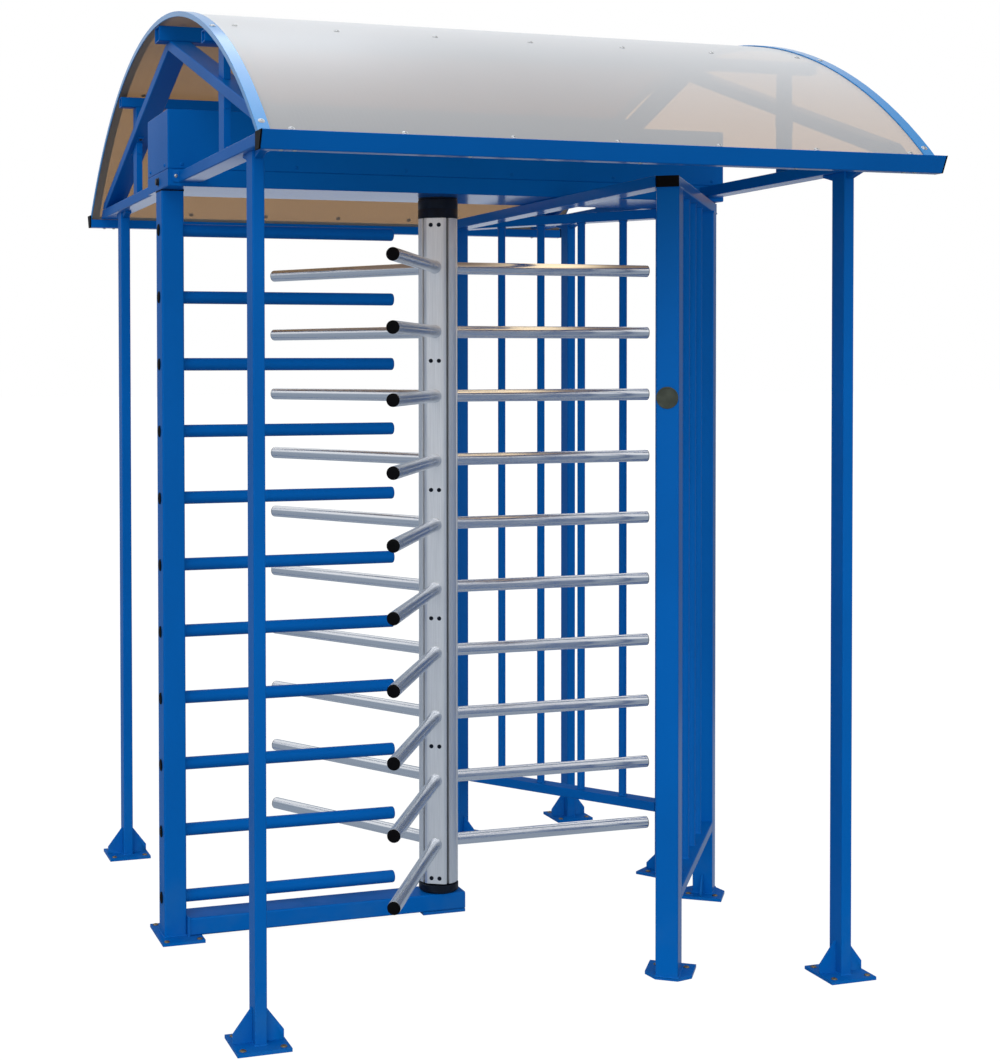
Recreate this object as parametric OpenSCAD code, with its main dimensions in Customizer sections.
// Full-height turnstile with a barrel roof.
// Millimetres. Origin on the rotor axis at floor level, X along the comb
// and the roof, Y through the passage, Z up.

/* [Rotor] */

// height between two bars of one wing, and of the comb
bar_pitch = 190; // [150:1:230]
// outside diameter of the stainless bars
bar_d = 36; // [28:0.5:45]
// wall of the stainless bars
bar_wall = 2; // [1:0.5:4]
// number of bars in each wing
wing_bars = 10; // [6:1:12]
// reach of a wing from the rotor axis
wing_reach = 690; // [500:5:800]
// height of the lowest wing bar's centre
wing_first_z = 206; // [180:1:300]
// distance from the axis to the column's flat lands
column_land = 53; // [45:1:80]
// radius of the column's rounded lobes
column_lobe_r = 58; // [50:1:85]
// width of the groove down each lobe
groove_w = 9; // [4:0.5:14]
// depth of the groove down each lobe
groove_depth = 8; // [3:0.5:14]
// diameter of the bore along the column
column_bore = 60; // [40:1:70]
// height of the black collar at the column's top
top_collar_h = 55; // [30:1:90]
// diameter of the rotor's shaft stubs
shaft_d = 40; // [25:1:50]
// how far a shaft stub reaches into the column
shaft_in = 60; // [30:1:120]

/* [Comb] */

// height of the lowest comb bar's centre
comb_first_z = 111; // [90:1:150]
// number of comb bars
comb_bars_n = 11; // [6:1:13]
// distance from the rotor axis to the comb bars' free ends
comb_gap_x = 145; // [120:1:200]
// outside diameter of the painted comb bars
comb_d = 36; // [28:0.5:45]
// wall of the comb bars
comb_wall = 2; // [1:0.5:4]

/* [Stanchion and beams] */

// gap between the wings' tips and the stanchion
stanchion_gap = 86; // [40:1:160]
// stanchion width along the row
stanchion_w = 64; // [50:1:90]
// stanchion depth through the passage
stanchion_d = 80; // [60:1:140]
// wall of the square tubes
tube_wall = 3; // [2:0.5:5]
// height of the base beam's tube
base_beam_h = 50; // [40:1:80]
// width of the base beam's tube
base_beam_w = 100; // [80:1:140]
// how far the base beam runs past the rotor axis
base_beam_past = 66; // [60:1:120]
// thickness of every floor plate
plate_t = 9; // [6:0.5:15]
// width of the mechanism housing through the passage
housing_w = 288; // [200:1:360]
// height of the cover above the top beam
cover_h = 163; // [120:1:220]
// height of the top beam's channel
beam_h = 48; // [35:1:80]
// sheet thickness of the beam and its cover
sheet_t = 3; // [2:0.5:5]
// how far the housing runs past the stanchion's outer face
housing_past_left = 3; // [0:1:30]
// how far the housing runs past the wings' reach on the right
housing_past_right = 182; // [120:1:240]

/* [Screens] */

// distance from the wings' tips to the middle of a screen
screen_gap = 48; // [40:1:120]
// angle of a screen's normal from the row
screen_angle = 35.3; // [25:0.1:45]
// screen post width across the screen
post_w = 60; // [40:1:80]
// screen post depth along the screen
post_d = 80; // [60:1:120]
// gap from the row's middle to the front screen's inner post
front_inner_y = 48.4; // [20:0.1:80]
// inner face of the front screen's outer post, along the screen
front_post_s = 348; // [300:1:460]
// inner face of the rear screen's outer post, along the screen
rear_post_s = 400; // [300:1:460]
// gap from the row's middle to the rear screen's inner post
rear_inner_y = 59.8; // [20:0.1:80]
// height of the screen rails
rail_h = 30; // [20:1:50]
// height of the lower rail's underside
rail_z = 200; // [120:1:300]
// diameter of the screens' round bars
screen_bar_d = 25; // [16:0.5:32]
// round bars in each screen
screen_bars_n = 4; // [2:1:6]
// width of the posts' floor plates
foot_w = 125; // [100:1:160]
// how far a floor plate reaches past its post towards the screen
foot_tongue = 48; // [40:1:80]
// diameter of the anchor holes
anchor_d = 13; // [9:0.5:18]
// diameter of the bare round badge
badge_d = 62; // [40:1:80]

/* [Roof] */

// half the distance between the front and rear roof posts
roof_post_y = 875; // [820:1:1000]
// how far the left roof posts stand inside the stanchion's middle
roof_left_in = 26; // [0:1:32]
// how far the right roof posts stand inside the housing's right end
roof_right_in = 54; // [35:1:80]
// roof post width along the row
roof_post_w = 30; // [25:1:60]
// roof post depth through the passage
roof_post_d = 60; // [40:1:90]
// width of the roof's square floor plates
roof_foot = 134; // [110:1:180]
// height of the roof posts' gussets
gusset_h = 84; // [60:1:180]
// thickness of the gussets
gusset_t = 6; // [4:0.5:10]
// height of the roof's end ties above the beam's underside
tie_up = 10; // [2:1:15]
// height of the ties, diagonals and purlins
tie_h = 31; // [20:1:50]
// width of the ties and diagonals along the row
tie_w = 60; // [40:1:90]
// half the width of the roof over its eaves
eave_y = 1196; // [1130:1:1300]
// how far the eaves hang below the end ties
eave_drop = 29; // [20:1:36]
// height of the eaves' outer faces
eave_h = 42; // [30:1:60]
// outside radius of the roof's arch
arch_r = 1700; // [1500:5:2200]
// width of the eave channels
eave_w = 54; // [45:1:90]
// thickness of the roof sheet
roof_t = 10; // [6:1:20]
// overhang of the roof past its left posts
roof_past_left = 65; // [45:1:120]
// overhang of the roof past its right posts
roof_past_right = 89; // [45:1:140]
// width of the trim strips on the arch's ends
trim_w = 30; // [20:1:50]
// height of the trim strips over the sheet
trim_t = 4; // [2:0.5:8]
// place of the two middle purlins
mid_purlin_y = 590; // [450:1:700]

/* [View] */

// sub-part to show

/* [Hidden] */

blue = [0.05, 0.33, 0.65];
steel = [0.78, 0.8, 0.82];
black = [0.08, 0.08, 0.09];
seat = 0.3;                // gap between pieces that sit side by side
run_gap = 5;               // gap between the rotor and what stands still
base_top = plate_t + base_beam_h;
bearing_h = 25;
column_z0 = base_top + bearing_h + run_gap;
column_z1 = wing_first_z + (wing_bars - 1) * bar_pitch + 145;
collar_z1 = column_z1 + top_collar_h;
beam_z0 = collar_z1 + run_gap + 1;
beam_z1 = beam_z0 + beam_h;
post_top = beam_z0 - seat - rail_h;
stanchion_x = wing_reach + stanchion_gap;      // stanchion's inner face
screen_dist = wing_reach + screen_gap;

// inner face of the post that keeps the gap y to the row's middle, along its screen
function inner_s(y) =
    (sin(screen_angle) * (screen_dist - post_w / 2) - y) / cos(screen_angle) - post_d;

inner_post_s = inner_s(front_inner_y);
rear_inner_s = inner_s(rear_inner_y);
housing_x0 = -stanchion_x - stanchion_w - housing_past_left;
housing_right = wing_reach + housing_past_right;
tie_z = beam_z0 + tie_up;
eave_z = tie_z - eave_drop;
eave_wall = 6;
sheet_edge_y = eave_y - 27;
edge_gap = 2.9;                    // between the sheet's edge and the eave's floor
deck_r = arch_r - trim_t;          // outside of the sheet
under_r = deck_r - roof_t;         // inside of the sheet
arch_zc = eave_z + eave_wall + edge_gap - sqrt(pow(under_r, 2) - pow(sheet_edge_y, 2));
roof_left_x = -stanchion_x - stanchion_w / 2 + roof_left_in;
roof_right_x = housing_right - roof_right_in;
roof_x0 = roof_left_x - roof_past_left;
roof_x1 = roof_right_x + roof_past_right;

// square tube standing on z=0, centred on x and y
module tube_z(w, d, h, t = tube_wall) {
    difference() {
        translate([-w / 2, -d / 2, 0]) cube([w, d, h]);
        translate([-w / 2 + t, -d / 2 + t, -1]) cube([w - 2 * t, d - 2 * t, h + 2]);
    }
}

// square tube along x from 0, centred on y, underside at z=0
module tube_x(l, w, h, t = tube_wall) {
    difference() {
        translate([0, -w / 2, 0]) cube([l, w, h]);
        translate([-1, -w / 2 + t, t]) cube([l + 2, w - 2 * t, h - 2 * t]);
    }
}

// round tube along x from 0
module pipe_x(l, d, t) {
    rotate([0, 90, 0]) difference() {
        cylinder(h = l, d = d, $fn = 32);
        translate([0, 0, -1]) cylinder(h = l + 2, d = d - 2 * t, $fn = 32);
    }
}

// triangular gusset in the xz plane, upright edge at x=0
module gusset(l, h, t = gusset_t) {
    lip = h * 0.28;
    rotate([90, 0, 0]) translate([0, 0, -t / 2]) linear_extrude(height = t)
        polygon([[0, 0], [l, 0], [l, lip], [2, h], [0, h]]);
}

// ---------------------------------------------------------------- comb side

module stanchion() {
    color(blue) translate([-stanchion_x - stanchion_w / 2, 0, plate_t + seat])
        tube_z(stanchion_w, stanchion_d, beam_z0 - plate_t - 2 * seat);
}

stanchion_foot_w = 122;
stanchion_foot_d = 190;
stanchion_hole_x = 94;
stanchion_hole_y = 164;

module stanchion_base() {
    foot_x = -stanchion_x - stanchion_w / 2 + 13;
    color(blue) difference() {
        translate([foot_x - stanchion_foot_w / 2, -stanchion_foot_d / 2, 0])
            cube([stanchion_foot_w, stanchion_foot_d, plate_t]);
        for (sx = [-1, 1], sy = [-1, 1])
            translate([foot_x + sx * stanchion_hole_x / 2, sy * stanchion_hole_y / 2, -1])
                cylinder(h = plate_t + 2, d = anchor_d, $fn = 32);
    }
}

module comb_bars() {
    color(blue) for (k = [0 : comb_bars_n - 1])
        translate([-stanchion_x + seat, 0, comb_first_z + k * bar_pitch])
            pipe_x(stanchion_x - seat - comb_gap_x, comb_d, comb_wall);
}

plug_lip = 3;

// end plug of a round tube, spigot towards -x
module round_plug(d, wall, spigot = 18) {
    rotate([0, 90, 0]) {
        cylinder(h = plug_lip, d = d - 1, $fn = 32);
        translate([0, 0, -spigot]) cylinder(h = spigot, d = d - 2 * wall - 0.6, $fn = 32);
    }
}

module comb_plugs() {
    color(blue) for (k = [0 : comb_bars_n - 1])
        translate([-comb_gap_x + seat, 0, comb_first_z + k * bar_pitch])
            round_plug(comb_d, comb_wall);
}

dome_r = 17;

// low button that covers a bar's end on the stanchion's outer side
module button() {
    cylinder(h = 1.5, r = dome_r, $fn = 32);
    translate([0, 0, 1.5]) cylinder(h = 2.5, r1 = dome_r, r2 = dome_r - 6, $fn = 32);
}

module stanchion_plugs() {
    color(black) for (k = [0 : comb_bars_n - 1])
        translate([-stanchion_x - stanchion_w - seat, 0, comb_first_z + k * bar_pitch])
            rotate([0, -90, 0]) button();
}

flange_out = 5;            // how far the end flange stands out round the tube

module base_beam() {
    color(blue) translate([-stanchion_x + seat, 0, plate_t + seat]) {
        tube_x(stanchion_x + base_beam_past, base_beam_w, base_beam_h - seat);
        translate([0, -base_beam_w / 2 - flange_out, 0])
            cube([6, base_beam_w + 2 * flange_out, base_beam_h + flange_out]);
    }
}

module base_beam_foot() {
    color(blue) translate([-base_beam_past, -base_beam_w / 2, 0])
        cube([2 * base_beam_past, base_beam_w, plate_t]);
}

module lower_bearing() {
    color(black) translate([0, 0, base_top + seat]) difference() {
        cylinder(h = bearing_h, r = column_lobe_r + 1, $fn = 48);
        translate([0, 0, -1]) cylinder(h = bearing_h + 2, d = shaft_d + 1.4, $fn = 48);
    }
}

// ---------------------------------------------------------------- top beam

module top_beam() {
    color(blue) difference() {
        translate([housing_x0, -housing_w / 2, beam_z0])
            cube([housing_right - housing_x0, housing_w, beam_h]);
        translate([housing_x0 + sheet_t, -housing_w / 2 + sheet_t, beam_z0 + sheet_t])
            cube([housing_right - housing_x0 - 2 * sheet_t, housing_w - 2 * sheet_t, beam_h]);
        translate([0, 0, beam_z0 - 1]) cylinder(h = sheet_t + 2, d = shaft_d + 1.4, $fn = 48);
    }
}

module housing_cover() {
    color(blue) translate([housing_x0, -housing_w / 2, beam_z1 + seat]) difference() {
        cube([housing_right - housing_x0, housing_w, cover_h]);
        translate([sheet_t, sheet_t, -1])
            cube([housing_right - housing_x0 - 2 * sheet_t, housing_w - 2 * sheet_t,
                cover_h - sheet_t + 1]);
    }
}

// ---------------------------------------------------------------- screens

// puts children in a screen's frame: x along the screen, y outwards
module on_screen(side) {
    mirror([0, side < 0 ? 0 : 1, 0])
        rotate([0, 0, 90 - screen_angle])
            translate([0, -screen_dist, 0]) children();
}

module screen_post(side, s) {
    color(blue) on_screen(side) translate([s, 0, plate_t + seat])
        tube_z(post_d, post_w, post_top - plate_t - 2 * seat);
}

module front_outer_post() { screen_post(-1, -front_post_s - post_d / 2); }
module front_inner_post() { screen_post(-1, inner_post_s + post_d / 2); }
module rear_outer_post() { screen_post(1, -rear_post_s - post_d / 2); }
module rear_inner_post() { screen_post(1, rear_inner_s + post_d / 2); }

// floor plate of a screen post, the post at x<0 and the tongue at x>0
module screen_foot() {
    nose = 35;
    color(blue) difference() {
        union() {
            linear_extrude(height = plate_t) polygon([
                [-post_d, -post_w / 2], [-post_d + nose, -foot_w / 2],
                [foot_tongue, -foot_w / 2], [foot_tongue, foot_w / 2],
                [-post_d + nose, foot_w / 2], [-post_d, post_w / 2]]);
            translate([seat, 0, plate_t]) gusset(foot_tongue - 6, 58);
        }
        for (sy = [-1, 1]) translate([foot_tongue - 32, sy * 40, -1])
            cylinder(h = plate_t + 2, d = anchor_d, $fn = 32);
    }
}

module screen_feet(side, outer_s, inner_s) {
    on_screen(side) {
        translate([-outer_s, 0, 0]) screen_foot();
        translate([inner_s, 0, 0]) mirror([1, 0, 0]) screen_foot();
    }
}

module front_screen_feet() { screen_feet(-1, front_post_s, inner_post_s); }
module rear_screen_feet() { screen_feet(1, rear_post_s, rear_inner_s); }

module screen_rails(side, outer_s, inner_s) {
    clear_len = outer_s + inner_s - 2 * seat;
    color(blue) on_screen(side) {
        translate([-outer_s + seat, 0, rail_z]) tube_x(clear_len, post_w, rail_h);
        translate([-outer_s - post_d, 0, post_top])
            tube_x(clear_len + 2 * post_d, post_w, rail_h);
    }
}

module front_screen_rails() { screen_rails(-1, front_post_s, inner_post_s); }
module rear_screen_rails() { screen_rails(1, rear_post_s, rear_inner_s); }

module screen_bars(side, outer_s, inner_s) {
    step = (outer_s + inner_s) / (screen_bars_n + 1);
    z0 = rail_z + rail_h + seat;
    color(blue) on_screen(side) for (k = [1 : screen_bars_n])
        translate([-outer_s + k * step, 0, z0])
            cylinder(h = post_top - seat - z0, d = screen_bar_d, $fn = 32);
}

module front_screen_bars() { screen_bars(-1, front_post_s, inner_post_s); }
module rear_screen_bars() { screen_bars(1, rear_post_s, rear_inner_s + rear_bars_past); }

rear_bars_past = 24;       // the rear bars' spacing counts this past the inner post
cross_x = cos(screen_angle) * screen_dist - sin(screen_angle) * (rear_post_s + post_d / 2) + 2;
cap_t = 4;

// the space beyond a screen's inner face, at the height of the top rails
module beyond_screen(side) {
    on_screen(side) translate([-900, -post_w / 2 - 400, post_top - 5])
        cube([1800, post_w + 400 + seat, rail_h + 10]);
}

module cross_beam() {
    color(blue) difference() {
        translate([cross_x, 900, post_top]) rotate([0, 0, -90])
            tube_x(1800, post_w, rail_h);
        beyond_screen(-1);
        beyond_screen(1);
    }
}

// end cap of a rail, its spigot towards +x
module rail_cap() {
    translate([-cap_t, -post_w / 2, 0]) cube([cap_t, post_w, rail_h]);
    translate([0, -post_w / 2 + tube_wall + 0.5, tube_wall + 0.5])
        cube([15, post_w - 2 * tube_wall - 1, rail_h - 2 * tube_wall - 1]);
}

module rail_caps(side, outer_s, inner_s) {
    on_screen(side) {
        translate([-outer_s - post_d - seat, 0, post_top]) rail_cap();
        translate([inner_s + post_d + seat, 0, post_top]) mirror([1, 0, 0]) rail_cap();
    }
}

module cross_beam_caps() {
    color(black) {
        rail_caps(-1, front_post_s, inner_post_s);
        rail_caps(1, rear_post_s, rear_inner_s);
    }
}

module badge() {
    color(steel) on_screen(-1)
        translate([-front_post_s - post_d - seat, 0, 1540])
            rotate([0, -90, 0]) cylinder(h = 3, d = min(badge_d, post_w - 2), $fn = 48);
}

// ---------------------------------------------------------------- roof

// puts children at the left and the right roof post of one side
module at_roof_posts(y) {
    for (x = [roof_left_x, roof_right_x]) translate([x, y, 0]) children();
}

module roof_posts(y) {
    color(blue) at_roof_posts(y) translate([0, 0, plate_t + seat])
        tube_z(roof_post_w, roof_post_d, tie_z - plate_t - 2 * seat);
}

module front_roof_posts() { roof_posts(-roof_post_y); }
module rear_roof_posts() { roof_posts(roof_post_y); }

roof_hole = 100;

module roof_foot_plate() {
    difference() {
        translate([-roof_foot / 2, -roof_foot / 2, 0]) cube([roof_foot, roof_foot, plate_t]);
        for (sx = [-1, 1], sy = [-1, 1])
            translate([sx * roof_hole / 2, sy * roof_hole / 2, -1])
                cylinder(h = plate_t + 2, d = anchor_d, $fn = 32);
    }
    for (a = [0, 180]) rotate([0, 0, a]) translate([roof_post_w / 2 + seat, 0, plate_t])
        gusset(roof_foot / 2 - roof_post_w / 2 - 4, gusset_h);
}

module front_roof_feet() { color(blue) at_roof_posts(-roof_post_y) roof_foot_plate(); }
module rear_roof_feet() { color(blue) at_roof_posts(roof_post_y) roof_foot_plate(); }

bracket_y = 52;            // legs of the brackets between posts and ties
bracket_z = 18;
bracket_w = 20;

module post_brackets() {
    color(blue) for (sy = [-1, 1]) at_roof_posts(sy * roof_post_y) for (a = [-90, 90])
        translate([0, sign(a) * (roof_post_d / 2 + seat), tie_z - seat]) rotate([0, 0, a])
            mirror([0, 0, 1]) gusset(bracket_y, bracket_z, bracket_w);
}

eave_lean = 20;            // how far an eave's face leans out
gutter_y = eave_y - eave_w;          // inner face of the eave channel

// everything under the roof sheet, for pieces whose ends follow it
module under_sheet(x) {
    translate([x - tie_w, 0, arch_zc]) rotate([0, 90, 0])
        cylinder(h = 2 * tie_w, r = under_r - seat, $fn = 360);
}

// tie halves from the housing's sides to the eaves
module tie(x) {
    y0 = housing_w / 2 + seat;
    intersection() {
        for (a = [0, 180]) translate([x, 0, tie_z]) rotate([0, 0, 90 + a])
            translate([y0, 0, 0]) tube_x(gutter_y - seat - y0, tie_w, tie_h);
        under_sheet(x);
    }
}

module roof_ties() {
    color(blue) {
        tie(roof_left_x);
        tie(roof_right_x);
    }
}

tie_top = tie_z + tie_h;
ridge_h = 43;
ridge_w = 60;
ridge_z0 = arch_zc + under_r - 2 * seat - ridge_h;
strut_w = 18;
strut_d = 56;
strut_x = -6;              // a strut's middle off the truss's middle plane
diag_foot = gutter_y - 84;           // where a diagonal's underside meets the tie
diag_run = ridge_z0 - tie_top - 22;  // rise of that underside up to the ridge
diag_a = atan2(diag_run, diag_foot);
diag_v = tie_h / cos(diag_a);        // height of a diagonal's upright section

// side view of one diagonal: y to the right, z up, walls cut off by t
module diagonal_side(t) {
    low = tie_top + diag_run + t / cos(diag_a);
    high = tie_top + diag_run + diag_v - t / cos(diag_a);
    fall = 1400 * tan(diag_a);
    polygon([[-50, low + 50 * tan(diag_a)], [1400, low - fall], [1400, high - fall],
        [-50, high + 50 * tan(diag_a)]]);
}

// side view trimmed to the tie, the ridge, the eave and the other diagonal
module diagonal_trimmed(t) {
    intersection() {
        diagonal_side(t);
        translate([seat / 2, tie_top + seat])
            square([gutter_y - seat - seat / 2, ridge_z0 - tie_top - 2 * seat]);
    }
}

// stands a side view up in the yz plane, w wide along x
module stand_x(w) {
    rotate([90, 0, 90]) translate([0, 0, -w / 2]) linear_extrude(height = w) children();
}

module diagonal() {
    intersection() {
        difference() {
            stand_x(tie_w) diagonal_trimmed(0);
            stand_x(tie_w - 2 * tube_wall) diagonal_side(tube_wall);
        }
        under_sheet(0);
    }
}

// upright from the tie to the middle purlin, cut by the diagonal
module strut() {
    difference() {
        translate([strut_x, mid_purlin_y, tie_top + seat])
            tube_z(strut_w, strut_d, purlin_z - tie_top - 2 * seat);
        stand_x(tie_w + 2) diagonal_side(-seat);
    }
}

module truss(x) {
    color(blue) translate([x, 0, 0]) for (sy = [0, 1]) mirror([0, sy, 0]) {
        diagonal();
        strut();
    }
}

module left_truss() { truss(roof_left_x); }
module right_truss() { truss(roof_right_x); }

roof_len = roof_x1 - roof_x0;
purlin_w = 40;
purlin_out = mid_purlin_y + purlin_w / 2;
purlin_z = arch_zc + sqrt(pow(under_r, 2) - pow(purlin_out, 2)) - seat - tie_h;

// purlin along the roof, its underside at z
module purlin(y, w, z, h) {
    translate([roof_x0 + 4, y, z]) tube_x(roof_len - 8, w, h);
}

module ridge_purlin() { color(blue) purlin(0, ridge_w, ridge_z0, ridge_h); }

module mid_purlins() {
    color(blue) for (sy = [-1, 1]) purlin(sy * mid_purlin_y, purlin_w, purlin_z, tie_h);
}

// outline of an eave: y outwards, its face leaning out
module eave_outline() {
    polygon([[gutter_y, eave_z], [eave_y - eave_lean, eave_z], [eave_y, eave_z + eave_h],
        [gutter_y, eave_z + eave_h]]);
}

// section of the eave channel, open at the top and under the sheet's edge
module eave_section() {
    inner_z = arch_zc + sqrt(pow(under_r, 2) - pow(gutter_y + eave_wall, 2)) - 2 * seat;
    difference() {
        eave_outline();
        polygon([[gutter_y + eave_wall, eave_z + eave_wall],
            [eave_y - eave_lean - eave_wall, eave_z + eave_wall],
            [eave_y - eave_wall, eave_z + eave_h + 1], [gutter_y + eave_wall, eave_z + eave_h + 1]]);
        translate([gutter_y - 1, inner_z]) square([eave_wall + 2, eave_h]);
    }
}

module eave() {
    color(blue) translate([roof_x0, 0, 0]) rotate([90, 0, 90])
        linear_extrude(height = roof_len) eave_section();
}

module rear_eave() { eave(); }
module front_eave() { mirror([0, 1, 0]) eave(); }

module eave_caps() {
    color(black) for (sy = [0, 1]) mirror([0, sy, 0])
        for (x = [roof_x0 - cap_t - seat, roof_x1 + seat])
            translate([x, 0, 0]) rotate([90, 0, 90]) linear_extrude(height = cap_t) eave_outline();
}

// arch from the radius r0 to r1, along x from x0 by l
module arch(x0, l, r0, r1) {
    intersection() {
        translate([x0, 0, arch_zc]) rotate([0, 90, 0]) difference() {
            cylinder(h = l, r = r1, $fn = 360);
            translate([0, 0, -1]) cylinder(h = l + 2, r = r0, $fn = 360);
        }
        translate([x0 - 1, -sheet_edge_y, arch_zc]) cube([l + 2, 2 * sheet_edge_y, arch_r]);
    }
}

flange_t = 3;

module roof_sheet() {
    color([0.72, 0.62, 0.5, 0.6])
        arch(roof_x0 + flange_t + seat, roof_len - 2 * (flange_t + seat), under_r, deck_r);
}

// strip over one end of the sheet with a flange down the sheet's edge
module roof_trim(x_edge, x_strip) {
    arch(x_strip, trim_w, deck_r + seat, arch_r);
    arch(x_edge, flange_t, under_r, deck_r + seat + 1);
}

module roof_trims() {
    color(blue) {
        roof_trim(roof_x0, roof_x0);
        roof_trim(roof_x1 - flange_t, roof_x1 - trim_w);
    }
}

// ---------------------------------------------------------------- rotor

groove_a = 39;             // angle from a land to the groove beside it

module column_section() {
    difference() {
        circle(r = column_lobe_r, $fn = 96);
        circle(d = column_bore, $fn = 48);
        for (a = [0, 120, 240]) rotate(a) {
            translate([column_land, -50]) square([40, 100]);
            for (g = [-groove_a, groove_a]) rotate(g)
                translate([column_lobe_r - groove_depth, -groove_w / 2])
                    square([20, groove_w]);
        }
    }
}

module rotor_column() {
    color(steel) translate([0, 0, column_z0])
        linear_extrude(height = column_z1 - column_z0) column_section();
}

module rotor_shaft() {
    color(steel) {
        translate([0, 0, base_top + seat + 3])
            cylinder(h = column_z0 - base_top - seat - 3 + shaft_in, d = shaft_d, $fn = 48);
        translate([0, 0, column_z0])
            cylinder(h = shaft_in, d = column_bore - 2 * seat, $fn = 48);
        translate([0, 0, column_z1 - shaft_in])
            cylinder(h = shaft_in, d = column_bore - 2 * seat, $fn = 48);
        translate([0, 0, column_z1 - 1])
            cylinder(h = beam_z0 + 30 - column_z1, d = shaft_d, $fn = 48);
    }
}

module top_collar() {
    color(black) translate([0, 0, column_z1 + seat]) difference() {
        cylinder(h = top_collar_h - seat, r = column_lobe_r + 1, $fn = 48);
        translate([0, 0, -1]) cylinder(h = top_collar_h + 2, d = shaft_d + 2 * seat, $fn = 48);
    }
}

module wing(a) {
    color(steel) rotate([0, 0, a]) for (k = [0 : wing_bars - 1])
        translate([column_land + seat, 0, wing_first_z + k * bar_pitch])
            pipe_x(wing_reach - plug_lip - 2 * seat - column_land, bar_d, bar_wall);
}

module wing_right() { wing(0); }
module wing_rear() { wing(120); }
module wing_front() { wing(240); }

module wing_plugs() {
    color(black) for (a = [0, 120, 240]) rotate([0, 0, a]) for (k = [0 : wing_bars - 1])
        translate([wing_reach - plug_lip, 0, wing_first_z + k * bar_pitch])
            round_plug(bar_d, bar_wall);
}

stanchion();
stanchion_base();
comb_bars();
comb_plugs();
stanchion_plugs();
base_beam();
base_beam_foot();
lower_bearing();
top_beam();
housing_cover();
front_outer_post();
front_inner_post();
rear_inner_post();
rear_outer_post();
front_screen_feet();
rear_screen_feet();
front_screen_rails();
front_screen_bars();
rear_screen_rails();
rear_screen_bars();
cross_beam();
cross_beam_caps();
badge();
front_roof_posts();
rear_roof_posts();
front_roof_feet();
rear_roof_feet();
post_brackets();
roof_ties();
left_truss();
right_truss();
ridge_purlin();
mid_purlins();
front_eave();
rear_eave();
eave_caps();
roof_sheet();
roof_trims();
rotor_column();
rotor_shaft();
top_collar();
wing_right();
wing_rear();
wing_front();
wing_plugs();
